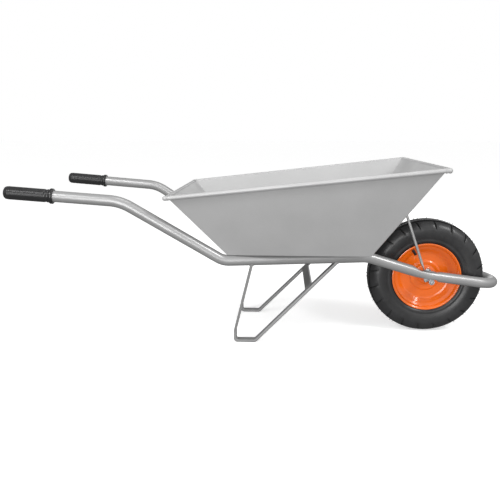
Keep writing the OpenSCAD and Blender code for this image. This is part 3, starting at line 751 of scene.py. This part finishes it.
def make_spacers():
    for name, side in SIDES.items():
        low, high = node_box(f"axle_spacer_{name}")
        near, far = sorted((abs(low.y), abs(high.y)))
        bore, outer = AXLE_R + 0.05, (high.z - low.z) / 2
        bm = bmesh.new()
        outline = [(bore, near), (outer, near), (outer, far), (bore, far)]
        lathe(bm, soft_outline(outline, 0.5, 2, True), axle_frame(side), 40, True)
        piece(f"axle_spacer_{name}_tube", bm, ZINC, "frame", [f"axle_spacer_{name}"])


# ---- Wheel ----

BEAD_R, BEAD_Y = 103.4, 33.3
WIDE_R = (BEAD_R + TYRE_R) / 2
SHOULDER_Y = 43.5
LUG_FOOT_Y = 40.5
TREAD_DEPTH = 5.5
PITCHES = 20
# Rows of the tread's floor, as distances from the middle, and columns of one pitch, as shares of it.
TREAD_ROWS = (2.2, 9, 16, 19.5, 27, 34, LUG_FOOT_Y, SHOULDER_Y)
TREAD_COLUMNS = (0, 0.09, 0.27, 0.35, 0.55, 0.77, 0.85, 1.0)
# A rib runs right round between the first two distances from the middle. Past the last one stand
# the shoulder's lugs, with a groove between two of them in each pitch.
RIB_NEAR_Y, RIB_FAR_Y, LUG_NEAR_Y = 2, 17, 19
LUG_GROOVE = (0, 0.09)
CROWN_POWER = 2.6


def crown_r(y):
    """Radius of the tyre's crown at a distance from its middle plane."""
    share = 1 - (abs(y) / TYRE_HALF) ** CROWN_POWER
    return WIDE_R + (TYRE_R - WIDE_R) * share ** (1 / CROWN_POWER)


def wall_y(r):
    """Half width of the tyre's side wall, with the ridge by the rim and the groove round it."""
    swell = BEAD_Y + (TYRE_HALF - BEAD_Y) * sin(min(1, (r - BEAD_R) / (WIDE_R - BEAD_R)) * pi / 2)
    if r > WIDE_R:
        share = 1 - ((r - WIDE_R) / (TYRE_R - WIDE_R)) ** CROWN_POWER
        swell = TYRE_HALF * share ** (1 / CROWN_POWER)
    ridge = 2.0 * exp(-((r - 114) / 3.4) ** 2)
    groove = 0.7 * exp(-((r - 122) / 2.4) ** 2)
    return swell + ridge - groove


def raised(r, y, depth):
    """Point of the tread moved outward from the middle of the tyre's section."""
    span = sqrt((r - WIDE_R) ** 2 + y ** 2)
    return WIDE_R + (r - WIDE_R) * (1 + depth / span), y * (1 + depth / span)


def tread_skew(y):
    """Turn of the tread's columns about the axle, which makes the grooves lean in a chevron."""
    return radians(7) * min(abs(y), SHOULDER_Y) / SHOULDER_Y


def is_raised(face, floor, span):
    """True for a face of the tread's floor, between two columns, that a rib or a lug stands on."""
    for v in face.verts:
        r = Vector((v.co.x, v.co.y)).length
        if min(abs(r - row_r) + abs(v.co.z - row_y) for row_r, row_y in floor) > 0.01:
            return False
    reach = [abs(v.co.z) for v in face.verts]
    if min(reach) > LUG_NEAR_Y:
        return span != LUG_GROOVE
    return min(reach) > RIB_NEAR_Y and max(reach) < RIB_FAR_Y


def tyre_outline():
    """Section of the tyre: a wall, the tread's floor, the other wall and the liner inside. Returns
    it with the floor alone."""
    rows = [-y for y in reversed(TREAD_ROWS)] + list(TREAD_ROWS)
    floor = [raised(crown_r(y), y, 0 if abs(y) == SHOULDER_Y else -TREAD_DEPTH) for y in rows]
    wall_steps = 20
    wall_top = crown_r(SHOULDER_Y)
    wall = [BEAD_R + (wall_top - BEAD_R) * k / wall_steps for k in range(wall_steps)]
    liner = [(BEAD_R + 0.5, 27), (112, 32), (WIDE_R, 37), (162, 30), (171, 14), (171.5, 0)]
    liner += [(r, -y) for r, y in reversed(liner[:-1])]
    left, right = [(r, -wall_y(r)) for r in wall], [(r, wall_y(r)) for r in reversed(wall)]
    return left + floor + right + liner, floor


def turned_pitch(bm):
    """Turns the tyre's section through one pitch and skews its columns; a face under a rib or a
    lug gets material index 1."""
    outline, floor = tyre_outline()
    pitch = 2 * pi / PITCHES
    profile = [bm.verts.new((r, 0, y)) for r, y in outline]
    strip = [bm.edges.new(pair) for pair in zip(profile, profile[1:] + profile[:1])]
    for span in zip(TREAD_COLUMNS, TREAD_COLUMNS[1:]):
        made = bmesh.ops.extrude_edge_only(bm, edges=strip)["geom"]
        verts = [g for g in made if isinstance(g, bmesh.types.BMVert)]
        fresh = set(verts)
        for face in (g for g in made if isinstance(g, bmesh.types.BMFace)):
            face.material_index = int(is_raised(face, floor, span))
        strip = [g for g in made if isinstance(g, bmesh.types.BMEdge) and fresh.issuperset(g.verts)]
        turn = Matrix.Rotation(pitch * (span[1] - span[0]), 3, "Z")
        bmesh.ops.rotate(bm, verts=verts, cent=(0, 0, 0), matrix=turn)
    for v in bm.verts:
        v.co = Matrix.Rotation(tread_skew(v.co.z), 3, "Z") @ v.co


def raise_tread(bm):
    """Raises the faces of material index 1 into ribs and lugs with eased edges."""
    blocks = [f for f in bm.faces if f.material_index == 1]
    made = bmesh.ops.extrude_face_region(bm, geom=blocks)["geom"]
    tops = [g for g in made if isinstance(g, bmesh.types.BMFace)]
    for v in (g for g in made if isinstance(g, bmesh.types.BMVert)):
        r = Vector((v.co.x, v.co.y)).length
        lift = 0 if abs(v.co.z) > LUG_FOOT_Y + 1 else TREAD_DEPTH
        new_r, new_y = raised(r, v.co.z, lift)
        v.co = Vector((v.co.x * new_r / r, v.co.y * new_r / r, new_y))
    bmesh.ops.delete(bm, geom=[f for f in blocks if f.is_valid], context="FACES_ONLY")
    bmesh.ops.remove_doubles(bm, verts=bm.verts, dist=0.01)
    bm.normal_update()
    tops = {f for f in tops if f.is_valid}
    rims = [e for e in bm.edges if len(e.link_faces) == 2 and len(tops.intersection(e.link_faces)) == 1]
    bmesh.ops.bevel(bm, geom=rims, offset=0.8, affect="EDGES", segments=2, profile=0.5, material=-1)


def make_tyre():
    bm = bmesh.new()
    turned_pitch(bm)
    bmesh.ops.spin(bm, geom=bm.verts[:] + bm.edges[:] + bm.faces[:], axis=(0, 0, 1), cent=(0, 0, 0),
                   angle=2 * pi * (1 - 1 / PITCHES), steps=PITCHES - 1, use_duplicate=True)
    bmesh.ops.remove_doubles(bm, verts=bm.verts, dist=0.01)
    bmesh.ops.recalc_face_normals(bm, faces=bm.faces)
    raise_tread(bm)
    for face in bm.faces:
        face.material_index = 0
    bmesh.ops.transform(bm, matrix=axle_frame(1), verts=bm.verts)
    piece("tyre_lugged", bm, TYRE_RUBBER, "wheel", ["tyre"], crease=32)


def make_tyre_vents():
    """Whiskers of rubber that the mould's vents leave on the tread."""
    bm = bmesh.new()
    for k in range(2 * PITCHES):
        turn = 2 * pi * (k + 0.3 * (k % 3)) / (2 * PITCHES)
        if cos(turn) < -0.85:
            continue
        for y in (-24, 11):
            out = Vector((sin(turn), 0, cos(turn)))
            foot = AXLE + out * (crown_r(y) - 0.5) + Y * y
            lathe(bm, [(0, 0), (0.9, 0), (0.7, 4.6), (0, 5.2)], along(foot, out), 6)
    piece("tyre_vents", bm, TYRE_RUBBER, "wheel")


DISH = [(14.1, 24), (21, 24), (27, 19), (34, 16), (44, 16), (49, 13), (72, 12.5), (77, 14.5), (88, 24),
        (97, 29.5), (101, 35.5), (104, 37.5), (106.5, 37)]


def dish_outline():
    """Section of a rim half: the flat disc, the cone and the rolled lip, 2 mm thick."""
    soft = rounded([Vector((r, h, 0)) for r, h in DISH], [3, 4, 6, 4, 4, 5, 6, 7, 4, 2.2, 1.5], 6)
    sides = []
    for way in (1, -1):
        line = []
        for k, p in enumerate(soft):
            ahead = soft[min(k + 1, len(soft) - 1)] - soft[max(k - 1, 0)]
            line.append(p + way * Z.cross(ahead).normalized())
        sides.append([(p.x, p.y) for p in line])
    return sides[0] + sides[1][::-1]


def make_rim():
    for name, side in SIDES.items():
        bm = bmesh.new()
        lathe(bm, dish_outline(), axle_frame(side), 144, True)
        piece(f"rim_dish_{name}_pressed", bm, RIM_PAINT, "wheel", [f"rim_dish_{name}"])


def make_hub():
    half = node_box("hub")[1].y
    bm = bmesh.new()
    outline = soft_outline([(11, -half), (14, -half), (14, half), (11, half)], 0.6, 2, True)
    lathe(bm, outline, axle_frame(1), 64, True)
    for side in SIDES.values():
        place = axle_frame(side)
        ring = [place @ Vector((15 * cos(t), 15 * sin(t), 25)) for t in (2 * pi * k / 48 for k in range(48))]
        weld(bm, ring, 1.9)
    piece("hub_tube", bm, RIM_PAINT, "wheel", ["hub"])
    for name, side in SIDES.items():
        low, high = node_box(f"bush_{name}")
        near, far = sorted((abs(low.y), abs(high.y)))
        bore, body = AXLE_R + 0.05, 10.98
        bm = bmesh.new()
        outline = [(bore, near), (body, near), (body, half), (13, half), (13, far), (bore + 0.8, far)]
        lathe(bm, soft_outline(outline, 0.5, 2, True), axle_frame(side), 48, True)
        piece(f"bush_{name}_nylon", bm, NYLON, "wheel", [f"bush_{name}"])


def make_valve():
    angle = radians(118)
    radial = Vector((cos(angle), 0, sin(angle)))
    root = AXLE + radial * 106 - Y * 12
    way = (radial * -18 - Y * 20).normalized()
    place = along(root, way)
    bm = bmesh.new()
    lathe(bm, [(0, 0), (5, 0), (5, 3), (7, 6), (7.2, 8), (5.6, 11), (4.9, 16), (4.7, 26), (4.2, 28),
               (4.0, 31), (0, 31)], place, 32)
    piece("valve_stem_rubber", bm, BUTYL, "wheel", ["valve_stem"])
    bm = bmesh.new()
    lathe(bm, [(0, 30), (4.5, 30), (4.5, 36.5), (3.9, 38), (2.4, 38.8), (0, 39)], place, 32)
    piece("valve_cap_moulded", bm, CAP_PLASTIC, "wheel", ["valve_cap"])


# ---- Stage ----

def make_floor():
    """Pale floor that gives off a little light of its own and throws none back onto the object."""
    half_width = 30
    bm = bmesh.new()
    bmesh.ops.create_grid(bm, x_segments=1, y_segments=1, size=half_width)
    mesh = bpy.data.meshes.new("floor")
    bm.to_mesh(mesh)
    bm.free()
    material, tree, place = blank("matt_white_floor")
    shade = add(tree, "ShaderNodeTexNoise", {"Vector": place, "Scale": 2.0, "Detail": 2})
    tone = add(tree, "ShaderNodeMapRange", {"Value": shade.outputs["Fac"], "To Min": 0.7, "To Max": 0.8})
    finish(tree, add(tree, "ShaderNodeBsdfPrincipled", {
        "Base Color": linear("#f7f7f7"), "Roughness": tone.outputs[0], "Specular IOR Level": 0.2,
        "Emission Color": (1, 1, 1, 1), "Emission Strength": 0.5}))
    mesh.materials.append(material)
    floor = bpy.data.objects.new("floor", mesh)
    floor.visible_diffuse = False
    floor.visible_glossy = False
    bpy.context.scene.collection.objects.link(floor)


def make_light(name, at, target, size, power):
    """Square area light that points at a target; sizes in metres, power in watts."""
    data = bpy.data.lights.new(name, "AREA")
    data.energy = power
    data.size = size
    light = bpy.data.objects.new(name, data)
    light.location = at
    light.rotation_euler = (Vector(target) - Vector(at)).to_track_quat("-Z", "Y").to_euler()
    bpy.context.scene.collection.objects.link(light)


def make_world():
    """Soft studio surround: bright in front and above, dark behind and under, white to the eye."""
    world = bpy.data.worlds.new("studio")
    world.use_nodes = True
    tree = world.node_tree
    tree.nodes.clear()
    way = add(tree, "ShaderNodeTexCoord").outputs["Generated"]
    parts = add(tree, "ShaderNodeSeparateXYZ", {"Vector": way})
    height = add(tree, "ShaderNodeMapRange", {"Value": parts.outputs["Z"], "From Min": -1.0})
    ramp = add(tree, "ShaderNodeValToRGB", {"Fac": height.outputs[0]})
    stops = ramp.color_ramp.elements
    stops[0].color = (0.28, 0.28, 0.28, 1)
    stops[1].color = (0.4, 0.4, 0.4, 1)
    for at, grey in ((0.48, 0.3), (0.6, 0.7), (0.75, 0.6)):
        stops.new(at).color = (grey, grey, grey, 1)
    depth = add(tree, "ShaderNodeMapRange", {"Value": parts.outputs["Y"], "From Min": -1.0,
                                             "To Min": 1.65, "To Max": 0.42})
    light = add(tree, "ShaderNodeBackground", {"Color": ramp.outputs["Color"],
                                               "Strength": depth.outputs[0]})
    seen = add(tree, "ShaderNodeBackground", {"Color": (1, 1, 1, 1)})
    to_the_eye = add(tree, "ShaderNodeLightPath").outputs["Is Camera Ray"]
    mixed = add(tree, "ShaderNodeMixShader", {"Fac": to_the_eye, 1: light.outputs[0], 2: seen.outputs[0]})
    add(tree, "ShaderNodeOutputWorld", {"Surface": mixed.outputs[0]})
    bpy.context.scene.world = world


def make_camera():
    """Camera on the barrow's right side, a little above the tray's rim and tipped down."""
    data = bpy.data.cameras.new("camera")
    data.lens = 42.48
    data.sensor_width = 36
    camera = bpy.data.objects.new("camera", data)
    camera.location = (0.051, -1.862, 0.635)
    camera.rotation_euler = (radians(90 - 11.6), 0, radians(3.19))
    bpy.context.scene.collection.objects.link(camera)
    bpy.context.scene.camera = camera


make_camera()
make_world()
make_floor()
make_light("overhead", (0.1, -0.2, 2.4), (0.1, 0, 0.3), 1.0, 9)
make_light("softbox_left", (-1.7, -1.9, 2.3), (0, 0, 0.3), 0.8, 32)
make_light("softbox_right", (2.2, -1.5, 2.3), (0.2, 0, 0.3), 0.8, 32)
make_light("front_fill", (-0.4, -3.2, 0.4), (0, 0, 0.3), 1.8, 50)
make_light("rear_fill", (0.9, 3.0, 0.3), (0, 0, 0.3), 2.0, 12)
bpy.context.scene.view_settings.view_transform = "Standard"

make_frame_tube()
make_cross_members()
make_grips()
make_legs()
make_crossbar()
make_tray_pan()
make_tray_rim()
make_stays()
clip_hardware("bolts")
clip_hardware("nuts")
tray_hardware("bolts")
tray_hardware("nuts")
stay_hardware("bolts")
stay_hardware("nuts")
make_axle()
make_clips()
make_spacers()
make_tyre()
make_tyre_vents()
make_rim()
make_hub()
make_valve()

for node, material in (("rim_wire", WIRE_STEEL), ("inner_tube", BUTYL), ("rim_band", RIM_PAINT)):
    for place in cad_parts[node].material_slots:
        place.material = material
